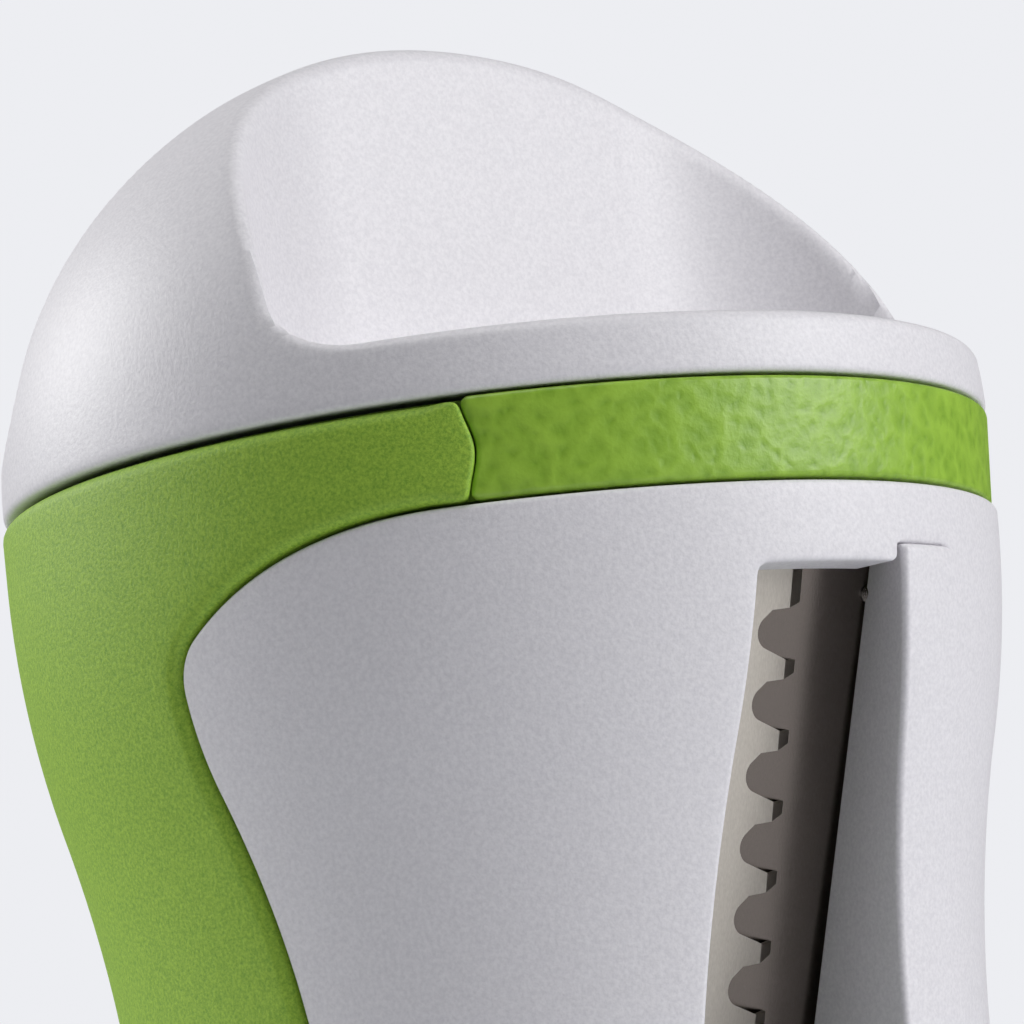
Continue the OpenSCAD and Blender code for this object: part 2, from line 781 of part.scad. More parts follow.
module centre_pin() {
  color(steel)
    pin(pin_r * 1.5, centre_pin_len);
}

body_shell();
soft_grip();
mouth_rim();
base_ring();
foot_ring();
base_screws();
funnel();
comb();
comb_screws();
blade();
blade_screws();
exit_lip();
lid_dome();
lid_plate();
lid_screws();
lid_seal();
pin_carrier();
pin_backing();
carrier_screws();
food_pins();
centre_pin();
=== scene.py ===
# %% [markdown]
# A hand-held spiral slicer, finished in Blender around a CAD frame.
# The slicer is an hourglass of white ABS with a soft green grip, a side window with a toothed comb and a
# blade, and a domed lid. The CAD model fixes every size and every joint. This lesson makes the surfaces
# that the eye meets (rounded edges, moulded grain, ground steel) and hangs them on the CAD bodies.
# Lengths are worked out in millimetres and turned into metres when a mesh is made.

import math

import bmesh
import bpy
import numpy as np
from mathutils import Matrix, Vector
from mathutils.geometry import delaunay_2d_cdt


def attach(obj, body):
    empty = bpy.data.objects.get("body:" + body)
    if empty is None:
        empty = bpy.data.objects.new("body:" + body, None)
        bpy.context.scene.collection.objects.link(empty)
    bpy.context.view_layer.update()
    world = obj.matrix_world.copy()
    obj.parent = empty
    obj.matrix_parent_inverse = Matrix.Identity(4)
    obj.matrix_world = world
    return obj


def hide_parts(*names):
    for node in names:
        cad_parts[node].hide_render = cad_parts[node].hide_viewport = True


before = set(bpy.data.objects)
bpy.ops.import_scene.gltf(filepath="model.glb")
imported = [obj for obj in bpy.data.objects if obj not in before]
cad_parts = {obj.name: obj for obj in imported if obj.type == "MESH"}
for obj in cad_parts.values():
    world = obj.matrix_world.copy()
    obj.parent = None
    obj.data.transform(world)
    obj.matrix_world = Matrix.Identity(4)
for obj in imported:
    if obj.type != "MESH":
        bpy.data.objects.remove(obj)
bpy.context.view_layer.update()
MM = 0.001

# %% [markdown]
# Colours are written as the hex values a designer would pick, but shaders work in linear light. One
# function does the turning, so that no colour is turned twice.

# %% Colour
def linear(hex_value):
    """Linear RGBA of an sRGB hex value: the low part is divided by 12.92, the rest is a 2.4 power."""
    srgb = np.array([int(hex_value[i:i + 2], 16) for i in (1, 3, 5)]) / 255.0
    rgb = np.where(srgb <= 0.04045, srgb / 12.92, ((srgb + 0.055) / 1.055) ** 2.4)
    return [*map(float, rgb), 1.0]


print("mid grey in linear light:", [round(v, 3) for v in linear("#808080")[:3]])

# %% [markdown]
# A material is a small graph. Instead of one function per kind of node, a single helper adds any node
# with its settings and its links, so each material below reads as a list of what is done to the surface.

# %% Node helper
def add_node(tree, kind, links=None, **settings):
    """Adds a node. Settings name a property or an input socket; links names inputs and what feeds them."""
    node = tree.nodes.new(kind)
    for key, value in settings.items():
        socket = node.inputs.get(key.replace("_", " "))
        if hasattr(node, key) and socket is None:
            setattr(node, key, value)
        else:
            socket.default_value = value
    for key, (source, output) in (links or {}).items():
        socket = node.inputs[key]
        tree.links.new(source.outputs[output], socket)
    return node


def start_material(name, roughness, metallic=0.0, ior=1.5):
    """A material with one principled shader, its uniform values on the shader's own sockets."""
    material = bpy.data.materials.new(name)
    material.use_nodes = True
    tree = material.node_tree
    shader = tree.nodes["Principled BSDF"]
    shader.inputs["Roughness"].default_value = roughness
    shader.inputs["Metallic"].default_value = metallic
    shader.inputs["IOR"].default_value = ior
    place = add_node(tree, "ShaderNodeTexCoord")
    return material, tree, shader, place


# %% [markdown]
# The white parts are injection-moulded ABS. The tool was spark-eroded, which leaves a fine even grain of
# about a third of a millimetre, so the surface is matt but catches tiny points of light. Inside the
# finger scoops the tool was left smoother. A vertex attribute called polish, 1 in the scoops, turns the
# grain down and lowers the roughness there.

# %% White ABS
GRAIN = 0.36 * MM  # grain of the eroded tool


def white_abs():
    """Colour: two near whites mixed by a fine noise. Bump: the same noise, weaker where polish is 1."""
    material, tree, shader, place = start_material("moulded_white_abs", 0.5, ior=1.54)
    polish = add_node(tree, "ShaderNodeAttribute", attribute_name="polish")
    grain = add_node(tree, "ShaderNodeTexNoise", {"Vector": (place, "Object")},
                     Scale=1 / GRAIN, Detail=2.0, Roughness=0.6)
    colour = add_node(tree, "ShaderNodeValToRGB", {"Fac": (grain, "Fac")})
    colour.color_ramp.elements[0].position, colour.color_ramp.elements[1].position = 0.3, 0.7
    colour.color_ramp.elements[0].color = linear("#DAD8DD")
    colour.color_ramp.elements[1].color = linear("#E8E6EA")
    rough = add_node(tree, "ShaderNodeMapRange", {"Value": (polish, "Fac")}, To_Min=0.5, To_Max=0.46)
    keep = add_node(tree, "ShaderNodeMapRange", {"Value": (polish, "Fac")}, To_Min=0.32, To_Max=0.05)
    bump = add_node(tree, "ShaderNodeBump", {"Height": (grain, "Fac"), "Strength": (keep, "Result")},
                    Distance=0.09 * MM)
    tree.links.new(colour.outputs["Color"], shader.inputs["Base Color"])
    tree.links.new(rough.outputs["Result"], shader.inputs["Roughness"])
    tree.links.new(bump.outputs["Normal"], shader.inputs["Normal"])
    return material


WHITE = white_abs()
print("made", WHITE.name)

# %% [markdown]
# The hard green band is ABS too, but its tool was etched with a leather pattern: soft wavy cells about
# 1.2 mm wide. Smooth Voronoi cells pushed about by a noise give that pattern. The light catches the
# cells' shoulders, so the colour is also a little lighter on them.

# %% Hard green ABS
LEATHER = 1.25 * MM  # width of one etched cell


def leather_abs():
    """Height: the distance inside warped Voronoi cells plus a little fine noise. Colour follows height."""
    material, tree, shader, place = start_material("etched_green_abs", 0.42, ior=1.54)
    warp = add_node(tree, "ShaderNodeTexNoise", {"Vector": (place, "Object")},
                    Scale=0.5 / LEATHER, Detail=2.0)
    push = add_node(tree, "ShaderNodeVectorMath", {0: (warp, "Color")}, operation="SCALE")
    push.inputs["Scale"].default_value = 1.6 * LEATHER
    moved = add_node(tree, "ShaderNodeVectorMath", {0: (place, "Object"), 1: (push, 0)})
    cells = add_node(tree, "ShaderNodeTexVoronoi", {"Vector": (moved, 0)},
                     feature="SMOOTH_F1", Scale=1 / LEATHER, Smoothness=0.7)
    fine = add_node(tree, "ShaderNodeTexNoise", {"Vector": (place, "Object")}, Scale=1 / GRAIN, Detail=2.0)
    height = add_node(tree, "ShaderNodeMath", {0: (fine, "Fac"), 2: (cells, "Distance")},
                      operation="MULTIPLY_ADD")
    height.inputs[1].default_value = 0.3
    colour = add_node(tree, "ShaderNodeValToRGB", {"Fac": (height, "Value")})
    colour.color_ramp.elements[0].position, colour.color_ramp.elements[1].position = 0.2, 0.9
    colour.color_ramp.elements[0].color = linear("#7DA628")
    colour.color_ramp.elements[1].color = linear("#98C03C")
    bump = add_node(tree, "ShaderNodeBump", {"Height": (height, "Value")}, Strength=0.55, Distance=0.16 * MM)
    tree.links.new(colour.outputs["Color"], shader.inputs["Base Color"])
    tree.links.new(bump.outputs["Normal"], shader.inputs["Normal"])
    return material


LEATHER_GREEN = leather_abs()
print("made", LEATHER_GREEN.name)

# %% [markdown]
# The inner green parts (funnel, hub) come from a polished tool: the same ABS, smooth and slightly wavy.

# %% Smooth green ABS
def smooth_abs():
    """Colour: two close greens mixed by a slow noise. Bump: the faint sink marks of a thick wall."""
    material, tree, shader, place = start_material("polished_green_abs", 0.3, ior=1.54)
    slow = add_node(tree, "ShaderNodeTexNoise", {"Vector": (place, "Object")}, Scale=1 / (6 * MM), Detail=1.0)
    colour = add_node(tree, "ShaderNodeValToRGB", {"Fac": (slow, "Fac")})
    colour.color_ramp.elements[0].color = linear("#5C9A18")
    colour.color_ramp.elements[1].color = linear("#6CAA24")
    bump = add_node(tree, "ShaderNodeBump", {"Height": (slow, "Fac")}, Strength=0.1, Distance=0.1 * MM)
    tree.links.new(colour.outputs["Color"], shader.inputs["Base Color"])
    tree.links.new(bump.outputs["Normal"], shader.inputs["Normal"])
    return material


SMOOTH_GREEN = smooth_abs()
print("made", SMOOTH_GREEN.name)

# %% [markdown]
# The grip is a thermoplastic rubber moulded over the shell. Its grain is finer and sharper than that of
# the ABS, so it sparkles at a distance and has no clear highlight.

# %% Soft green rubber
def soft_rubber():
    """Colour: speckle between two greens. Bump: sharp fine noise of 0.3 mm."""
    material, tree, shader, place = start_material("soft_green_tpe", 0.62, ior=1.5)
    grain = add_node(tree, "ShaderNodeTexNoise", {"Vector": (place, "Object")},
                     Scale=1 / (0.3 * MM), Detail=3.0, Roughness=0.75)
    colour = add_node(tree, "ShaderNodeValToRGB", {"Fac": (grain, "Fac")})
    colour.color_ramp.elements[0].position, colour.color_ramp.elements[1].position = 0.32, 0.68
    colour.color_ramp.elements[0].color = linear("#74A02A")
    colour.color_ramp.elements[1].color = linear("#A4C840")
    bump = add_node(tree, "ShaderNodeBump", {"Height": (grain, "Fac")}, Strength=0.55, Distance=0.12 * MM)
    tree.links.new(colour.outputs["Color"], shader.inputs["Base Color"])
    tree.links.new(bump.outputs["Normal"], shader.inputs["Normal"])
    return material


SOFT_GREEN = soft_rubber()
print("made", SOFT_GREEN.name)

# %% [markdown]
# The comb and the blade are stainless strip, ground along its length. A noise stretched along the
# grinding direction gives fine lines and uneven shine. The blade is polished further, and its steel
# colour is painted dark: painted shade that stands in for the shade it mirrors inside the window.

# %% Stainless steels
def ground_steel(name, dark, light, roughness, line):
    """Stretched noise: short across the grinding lines, fifty times longer along them."""
    material, tree, shader, place = start_material(name, roughness, metallic=1.0)
    lines = add_node(tree, "ShaderNodeMapping", {"Vector": (place, "Object")}, Scale=(1.0, 1.0, 0.02))
    noise = add_node(tree, "ShaderNodeTexNoise", {"Vector": (lines, "Vector")}, Scale=1 / line, Detail=2.0)
    colour = add_node(tree, "ShaderNodeValToRGB", {"Fac": (noise, "Fac")})
    colour.color_ramp.elements[0].color = linear(dark)
    colour.color_ramp.elements[1].color = linear(light)
    rough = add_node(tree, "ShaderNodeMapRange", {"Value": (noise, "Fac")},
                     To_Min=roughness * 0.75, To_Max=roughness * 1.25)
    bump = add_node(tree, "ShaderNodeBump", {"Height": (noise, "Fac")}, Strength=0.12, Distance=0.02 * MM)
    tree.links.new(colour.outputs["Color"], shader.inputs["Base Color"])
    tree.links.new(rough.outputs["Result"], shader.inputs["Roughness"])
    tree.links.new(bump.outputs["Normal"], shader.inputs["Normal"])
    return material


COMB_STEEL = ground_steel("ground_stainless", "#B9B2A8", "#D6D0C6", 0.34, 0.12 * MM)
# painted shade: the blade's two steel colours are dark to stand in for the shade it mirrors in the window
BLADE_STEEL_PAINTED_SHADE = ground_steel("blade_stainless_painted_shade", "#6A635E", "#7A726C", 0.2, 0.1 * MM)
PIN_STEEL = ground_steel("drawn_stainless", "#BDBDBD", "#D2D2D2", 0.25, 0.08 * MM)
print("made", COMB_STEEL.name, BLADE_STEEL_PAINTED_SHADE.name, PIN_STEEL.name)

# %% [markdown]
# Every new piece is a surface worked out with numpy. These helpers turn a grid of points or a list of
# faces into a mesh object that rides on a CAD body. Doubles are merged and the faces turned outwards
# once, here, so that every piece is closed and right side out.

# %% Mesh helpers
def grid_faces(rows, columns, closed):
    """Quads between neighbouring rows and columns of a grid; closed joins the last column to the first."""
    r = np.arange(rows - 1)[:, None] * columns
    c = np.arange(columns if closed else columns - 1)[None, :]
    d = (c + 1) % columns
    return np.stack([r + c, r + d, r + columns + d, r + columns + c], -1).reshape(-1, 4)


def make_piece(name, points, faces, material, body, replaces, sharp=35.0, weld=0.002):
    """Mesh object from points in millimetres: doubles merged, faces outwards, smooth but for sharp edges."""
    mesh = bpy.data.meshes.new(name)
    mesh.from_pydata((np.asarray(points) * MM).tolist(), [], faces)
    bm = bmesh.new()
    bm.from_mesh(mesh)
    bmesh.ops.remove_doubles(bm, verts=bm.verts, dist=weld * MM)
    bmesh.ops.recalc_face_normals(bm, faces=bm.faces)
    bm.to_mesh(mesh)
    bm.free()
    mesh.polygons.foreach_set("use_smooth", np.ones(len(mesh.polygons), bool))
    mesh.set_sharp_from_angle(angle=math.radians(sharp))
    mesh.materials.append(material)
    piece = bpy.data.objects.new(name, mesh)
    bpy.context.scene.collection.objects.link(piece)
    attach(piece, body)
    if replaces:
        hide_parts(*replaces)
    print(name, len(mesh.vertices), "vertices", len(mesh.polygons), "faces")
    return piece


# %% [markdown]
# The body is an hourglass. Its profile is straight for a few millimetres at each end, then an arc bends
# it inwards and a second arc brings it back upright at the waist. The lower half mirrors the upper one.

# %% Profile of the body
BODY_H = 115.0
END_R = 42.8
WAIST_R = 36.1
STRAIGHT_H = 5.2
SHOULDER_ARC = 88.0
PART_GAP = 0.3
BAND_H = 8.0
BAND_R = END_R + 0.2
BAND_TAPER = 0.65


def shell_radius(z):
    """Outside radius at height z: end radius, then an arc of SHOULDER_ARC, then an arc back to the waist."""
    drop = np.minimum(z, BODY_H - z)
    half = BODY_H / 2
    run = half - STRAIGHT_H
    lean = 2 * math.atan((END_R - WAIST_R) / run)
    r0 = SHOULDER_ARC
    r1 = run / math.sin(lean) - r0
    outer = END_R - r0 + np.sqrt(r0 ** 2 - np.clip(drop - STRAIGHT_H, 0, run) ** 2)
    inner = WAIST_R + r1 - np.sqrt(r1 ** 2 - np.clip(half - drop, 0, run) ** 2)
    return np.where(drop < STRAIGHT_H + r0 * math.sin(lean), outer, inner)


print("waist radius", round(float(shell_radius(np.array(57.5))), 2))

# %% [markdown]
# The front panel and the grip meet along one curve. Seen from the side it runs under the band, sweeps
# down on a long arc, turns a tight corner and falls in a waisted line. Here the same curve is written as
# an angle round the body and a height, which is how both pieces are drawn.

# %% Edge of the front panel
PANEL_CORNER = 5.4
PANEL_WAIST = 9.6


def tangent_arcs(x0, z0, x1, z1, arc, n):
    """Two tangent arcs from upright at (x0, z0) to upright at (x1, z1); the first has radius arc."""
    lean = 2 * math.atan((x0 - x1) / (z0 - z1))
    reach = (z0 - z1) / math.sin(lean)
    r0 = min(arc, 0.8 * abs(reach))
    r1 = reach - r0
    t = np.linspace(0, lean, n)
    first = np.stack([x0 - r0 + r0 * np.cos(t), z0 - r0 * np.sin(t)], 1)
    second = np.stack([x1 + r1 - r1 * np.cos(t[::-1]), z1 + r1 * np.sin(t[::-1])], 1)
    return np.concatenate([first, second[1:]])


def panel_edge(gap):
    """Half of the panel's edge from the front, top to waist, as (angle in degrees, height)."""
    top = BODY_H - BAND_H + gap
    sweep_r, sweep = 35.0, math.radians(36)
    sweep_y = -(PANEL_CORNER + 23)
    end_y = sweep_y + sweep_r * math.sin(sweep)
    end_z = top - sweep_r * (1 - math.cos(sweep))
    corner_y = -PANEL_CORNER + gap
    corner_r = (corner_y - end_y) / (1 - math.sin(sweep))
    t = np.linspace(0, sweep, 40)
    long_arc = np.stack([sweep_y + sweep_r * np.sin(t), top - sweep_r * (1 - np.cos(t))], 1)
    t = np.linspace(sweep, math.pi / 2, 30)[1:]
    corner_z = end_z - corner_r * math.cos(sweep)
    corner = np.stack([corner_y - corner_r * (1 - np.sin(t)), corner_z + corner_r * np.cos(t)], 1)
    fall = tangent_arcs(corner_y, corner_z, -PANEL_WAIST + gap, BODY_H / 2, 37.0, 40)[1:]
    side = np.concatenate([long_arc, corner, fall])
    angle = np.degrees(np.arccos(-side[:, 0] / shell_radius(side[:, 1])))
    start = np.linspace(0, angle[0], 60)[:-1]
    return np.concatenate([np.stack([start, np.full(59, top)], 1), np.stack([angle, side[:, 1]], 1)])


print("panel corner at", round(float(panel_edge(0)[:, 0].max()), 1), "degrees")

# %% [markdown]
# Panel, grip and bands are all thick skins with an outline, rounded at their edges. One function makes
# them: it lays rings along the outline that step inwards and upwards on a quarter circle, fills the
# middle with triangles, and closes the skin with the same triangles on its inner side. An alternative is
# to cut a turned body with booleans and bevel it, but bevels break down on such curved rims.

# %% Skins with rounded edges
UNROLL_R = 40.0  # radius at which angles are unrolled to millimetres


def resample(loop, step):
    """Closed loop with points at equal distances of about step."""
    closed = np.concatenate([loop, loop[:1]])
    run = np.concatenate([[0], np.cumsum(np.linalg.norm(np.diff(closed, axis=0), axis=1))])
    at = np.linspace(0, run[-1], int(run[-1] / step) + 1)[:-1]
    return np.stack([np.interp(at, run, closed[:, k]) for k in (0, 1)], 1)


def soften(loop, times):
    """Closed loop with its corners rounded: each pass averages a point with its two neighbours."""
    for _ in range(times):
        loop = loop * 0.5 + (np.roll(loop, 1, 0) + np.roll(loop, -1, 0)) * 0.25
    return loop


def inward(loop):
    """Unit normals to the left of a loop that runs anticlockwise."""
    t = np.roll(loop, -1, 0) - np.roll(loop, 1, 0)
    t = t / np.linalg.norm(t, axis=1, keepdims=True)
    return np.stack([-t[:, 1], t[:, 0]], 1)


def inside(points, loop):
    """True for points inside a loop: a ray to the right crosses it an odd number of times."""
    x0, y0 = loop.T
    x1, y1 = np.roll(loop, -1, 0).T
    py, px = points[:, 1:2], points[:, 0:1]
    spans = (y0 > py) != (y1 > py)
    with np.errstate(divide="ignore", invalid="ignore"):
        hit = px < x0 + (py - y0) * (x1 - x0) / (y1 - y0)
    return ((spans & hit).sum(1) % 2) == 1


def fill(loops, step):
    """Triangles over the region inside the first loop and outside the others, with points every step."""
    low, high = loops[0].min(0), loops[0].max(0)
    u, v = np.meshgrid(np.arange(low[0], high[0], step), np.arange(low[1], high[1], step * 0.866))
    u = u + (np.arange(u.shape[0]) % 2)[:, None] * step / 2
    middle = np.stack([u.ravel(), v.ravel()], 1)
    keep = inside(middle, loops[0])
    for loop in loops[1:]:
        keep &= ~inside(middle, loop)
    middle = middle[keep]
    for loop in loops:
        near = np.abs(middle[:, None] - loop[None]).max(2).min(1)
        middle = middle[near > step * 0.55]
    points = np.concatenate([*loops, middle])
    start = np.cumsum([0] + [len(loop) for loop in loops])
    rings = []
    for loop, first in zip(loops, start):
        at = np.arange(len(loop))
        rings.append(np.stack([at, (at + 1) % len(loop)], 1) + first)
    out = delaunay_2d_cdt(points.tolist(), np.concatenate(rings).tolist(), [], 0, 1e-9)
    order = np.array([ids[0] for ids in out[3]])
    triangles = order[np.array(out[2])]
    centre = points[triangles].mean(1)
    keep = inside(centre, loops[0])
    for loop in loops[1:]:
        keep &= ~inside(centre, loop)
    return points, triangles[keep]


def skin(loops, edge_radii, place, thickness, step, turns=5):
    """Closed skin: loops[0] is the outline and the rest are holes, all anticlockwise, in flat millimetres.
    place(flat, depth) gives the points in space; edge_radii gives each loop's edge radius, also by point."""
    t = np.linspace(0, math.pi / 2, turns + 1)
    points, faces, count = [], [], 0
    inner_loops = []
    for k, (loop, radius) in enumerate(zip(loops, edge_radii)):
        radius = np.broadcast_to(np.asarray(radius, float), (len(loop),))[:, None]
        way = inward(loop) * (1 if k == 0 else -1)
        rings = [place(loop + way * radius, thickness), place(loop, thickness)]
        rings += [place(loop + way * radius * (1 - math.cos(a)), radius[:, 0] * (1 - math.sin(a))) for a in t]
        inner_loops.append(loop + way * radius)
        points.append(np.concatenate(rings))
        faces.append(grid_faces(len(rings), len(loop), True) + count)
        count += len(rings) * len(loop)
    flat, triangles = fill(inner_loops, step)
    points += [place(flat, 0.0), place(flat, thickness)]
    cover = [triangles + count, triangles[:, ::-1] + count + len(flat)]
    return np.concatenate(points), [f for part in faces + cover for f in part.tolist()]


def on_body(proud):
    """Placing function: flat (arc length, height) at a radial depth below the body's profile plus proud."""
    def place(flat, depth):
        angle = flat[:, 0] / UNROLL_R
        radius = shell_radius(flat[:, 1]) + proud - depth
        return np.stack([radius * np.sin(angle), -radius * np.cos(angle), flat[:, 1]], 1)
    return place


# %% [markdown]
# The front panel is the thick part of the white shell. Its window is tall: the left edge runs straight
# down and then leans out towards the waist, and the right side takes the exit lip. Corners are rounded
# with short arcs, as a mould maker would.

# %% Front panel with its window
WINDOW_TOP = BODY_H - 14.7
WINDOW_SILL = 31.0
LIP_LEFT, LIP_RIGHT = 3.0, 11.0
LIP_RISE = 1.5
WINDOW_LEFT, WINDOW_LEFT_LOW = 11.4, 16.6
PANEL_WALL = 3.8
PANEL_EDGE_R = 0.45  # rounding of the panel's rim and of most of the window's edge
NOTCH_EDGE_R = 0.25  # smaller rounding beside the step above the lip


def fillet(points, radii, n=8):
    """Polygon with each corner replaced by an arc of its own radius, tangent to both sides."""
    points = [np.array(p, float) for p in points]
    out = []
    for i, (p, r) in enumerate(zip(points, radii)):
        a, b = points[i - 1], points[(i + 1) % len(points)]
        u, v = (a - p) / np.linalg.norm(a - p), (b - p) / np.linalg.norm(b - p)
        half = math.acos(float(u @ v)) / 2
        middle = p + (u + v) / np.linalg.norm(u + v) * r / math.sin(half)
        start, stop = p + u * r / math.tan(half) - middle, p + v * r / math.tan(half) - middle
        sweep = math.atan2(start[0] * stop[1] - start[1] * stop[0], float(start @ stop))
        t = math.atan2(start[1], start[0]) + np.linspace(0, sweep, n)
        out.append(middle + r * np.stack([np.cos(t), np.sin(t)], 1))
    return np.concatenate(out)


def unroll(points):
    """Front-view points (x, z) as flat points: x becomes the arc length at the shell's radius there."""
    return np.stack([np.arcsin(points[:, 0] / shell_radius(points[:, 1])) * UNROLL_R, points[:, 1]], 1)


def window_outline():
    """Front view of the opening, anticlockwise from its sill's left end."""
    top, right = WINDOW_TOP, LIP_RIGHT
    lip_top = top + LIP_RISE
    corners = [(-WINDOW_LEFT_LOW, WINDOW_SILL), (right, WINDOW_SILL), (right, lip_top), (LIP_LEFT, lip_top),
               (LIP_LEFT, top), (-WINDOW_LEFT, top), (-WINDOW_LEFT_LOW, BODY_H / 2)]
    return fillet(corners, [3, 3, 1.5, 0.3, 0.6, 0.9, 20])


def both_sides(half):
    """Closed panel outline from its upper right half: mirrored down, then mirrored to the left."""
    right = np.concatenate([half, np.stack([half[::-1, 0], BODY_H - half[::-1, 1]], 1)[1:]])
    left = right[::-1] * [-1, 1]
    return np.concatenate([left[:-1], right[:-1]])[::-1]


def front_panel():
    """The skin over the panel's outline, less the window; its edge radius falls near the lip's step."""
    outline = both_sides(panel_edge(-PART_GAP)) * [math.radians(1) * UNROLL_R, 1]
    outline = resample(outline, 0.6)
    window = resample(unroll(resample(window_outline(), 0.3)), 0.4)
    step = np.hypot(window[:, 0] - LIP_LEFT * UNROLL_R / END_R, window[:, 1] - WINDOW_TOP)
    radii = PANEL_EDGE_R - (PANEL_EDGE_R - NOTCH_EDGE_R) * np.clip(2.4 - step, 0, 1)
    points, faces = skin([outline, window], [PANEL_EDGE_R, radii], on_body(0.0), PANEL_WALL, 1.1)
    return make_piece("front_panel", points, faces, WHITE, "body", ["body_shell"])


front_panel()

# %% [markdown]
# Behind the grip the shell is a thinner wall, seen only from below and through the window. It runs round
# the back from one side of the panel to the other.

# %% Back wall of the shell
GRIP_DEPTH = 1.6  # recess in the shell that the grip fills


def back_wall():
    """Grid over angle and height, laid out and back as a closed strip between recess and inside wall."""
    z = np.linspace(BAND_H + PART_GAP, BODY_H - BAND_H - PART_GAP, 100)
    edge = panel_edge(-PART_GAP)
    edge = edge[np.argsort(edge[:, 1])]
    reach = np.interp(np.maximum(z, BODY_H - z), edge[:, 1], edge[:, 0])
    reach = np.radians(np.minimum(reach, 84.0))
    share = np.linspace(0, 1, 120)
    angle = reach[:, None] + (2 * math.pi - 2 * reach[:, None]) * share
    rings = []
    for inset in (GRIP_DEPTH, PANEL_WALL):
        r = (shell_radius(z) - inset)[:, None]
        ring = np.stack([r * np.sin(angle), -r * np.cos(angle), np.broadcast_to(z[:, None], angle.shape)], -1)
        rings.append(ring if inset == GRIP_DEPTH else ring[:, ::-1])
    sheet = np.concatenate(rings, 1)
    rows, columns = sheet.shape[:2]
    half = columns // 2
    faces = grid_faces(rows, columns, True).tolist()
    for row in (0, rows - 1):
        c = np.arange(half - 1)
        cap = np.stack([c, c + 1, columns - 2 - c, columns - 1 - c], 1) + row * columns
        faces += cap.tolist()
    return make_piece("shell_back", sheet.reshape(-1, 3), faces, WHITE, "body", [])


back_wall()

# %% [markdown]
# The grip wraps the sides and the back and runs round both rims, outside the hard bands. It is moulded
# rubber with a full rounded shoulder, but it meets the hard band in a tight seam, so the edge radius is
# small there and large elsewhere.

# %% Soft grip
BAND_LEFT, BAND_RIGHT = 46.0, 58.0
GRIP_PROUD = 0.4
GRIP_EDGE_R, SEAM_DROP_R = 1.15, 0.8  # rounding of the grip's rim, and how much less it is at the seam
SEAM_BULGE = 0.8  # how far the grip's rounded end reaches into the band, at mid height


def grip_side(reach):
    """Side edge of the grip from top to base: down the band's end, then along the panel's edge."""
    edge = panel_edge(0.0)
    edge = edge[edge[:, 0] > reach]
    top_z = BODY_H - PART_GAP
    t = np.linspace(0, 1, 16)
    bulge = math.degrees(SEAM_BULGE / UNROLL_R) * np.sin(math.pi * t) ** 2
    drop = np.stack([reach - bulge, top_z + (edge[0, 1] - top_z) * t], 1)
    half = np.concatenate([drop, edge])
    return np.concatenate([half, np.stack([half[::-1, 0], BODY_H - half[::-1, 1]], 1)[1:]])


def soft_grip():
    """The skin between the two side edges, from one side round the back to the other."""
    low_z = 1.1
    right = grip_side(BAND_RIGHT)
    left = grip_side(BAND_LEFT)[::-1] * [-1, 1] + [360, 0]
    loop = np.concatenate([right, left])
    loop[:, 1] = np.clip(loop[:, 1], low_z, None)
    loop = soften(resample(loop * [math.radians(1) * UNROLL_R, 1], 0.35), 4)
    scale = math.radians(1) * UNROLL_R
    seam = np.minimum(np.abs(loop[:, 0] - BAND_RIGHT * scale), np.abs(loop[:, 0] - (360 - BAND_LEFT) * scale))
    at_band = (seam < 0.6 + SEAM_BULGE) & (np.abs(loop[:, 1] - BODY_H / 2) > BODY_H / 2 - BAND_H)
    weight = soften(np.where(at_band, 1.0, 0.0)[:, None], 8)[:, 0]
    radii = GRIP_EDGE_R - SEAM_DROP_R * weight
    points, faces = skin([loop], [radii], on_body(GRIP_PROUD), 1.9, 1.3)
    return make_piece("grip", points, faces, SOFT_GREEN, "body", ["soft_grip"])


soft_grip()

# %% [markdown]
# The hard band is the visible part of the rim that stiffens the mouth; the base has its twin. Each is a
# short flared skin with a crisp but not sharp edge. The rest of the rim is a plain turned ring.

# %% Hard bands
def on_band(flat, depth):
    """Flat (arc length, height) on the band's cone, which flares by BAND_TAPER towards the open end."""
    angle = flat[:, 0] / UNROLL_R
    drop = np.minimum(flat[:, 1], BODY_H - flat[:, 1])
    radius = BAND_R - BAND_TAPER * np.clip(drop / BAND_H, 0, 1) - depth
    return np.stack([radius * np.sin(angle), -radius * np.cos(angle), flat[:, 1]], 1)


def turned_ring(profile, columns=240):
    """A closed (radius, height) profile carried round the axis."""
    angle = np.linspace(0, 2 * math.pi, columns, endpoint=False)
    r, z = profile[:, :1], profile[:, 1:]
    ring = np.stack([r * np.sin(angle), -r * np.cos(angle), np.broadcast_to(z, (len(r), columns))], -1)
    return ring.reshape(-1, 3), grid_faces(len(profile), columns, True)


def band(name, z0, z1, core, replaced):
    """The flared skin in front, joined with the ring that carries it."""
    scale = math.radians(1) * UNROLL_R
    left, right = -(BAND_LEFT - 0.12) * scale, (BAND_RIGHT - 0.12) * scale
    loop = resample(fillet([(left, z0), (right, z0), (right, z1), (left, z1)], [0.7] * 4), 0.3)
    loop[:, 0] -= np.sign(loop[:, 0]) * SEAM_BULGE * np.sin(math.pi * (loop[:, 1] - z0) / (z1 - z0)) ** 2
    points, faces = skin([loop], [0.45], on_band, 2.4, 1.0)
    ring, ring_faces = turned_ring(core)
    faces += (ring_faces + len(points)).tolist()
    points = np.concatenate([points, ring])
    return make_piece(name, points, faces, LEATHER_GREEN, "body", replaced)


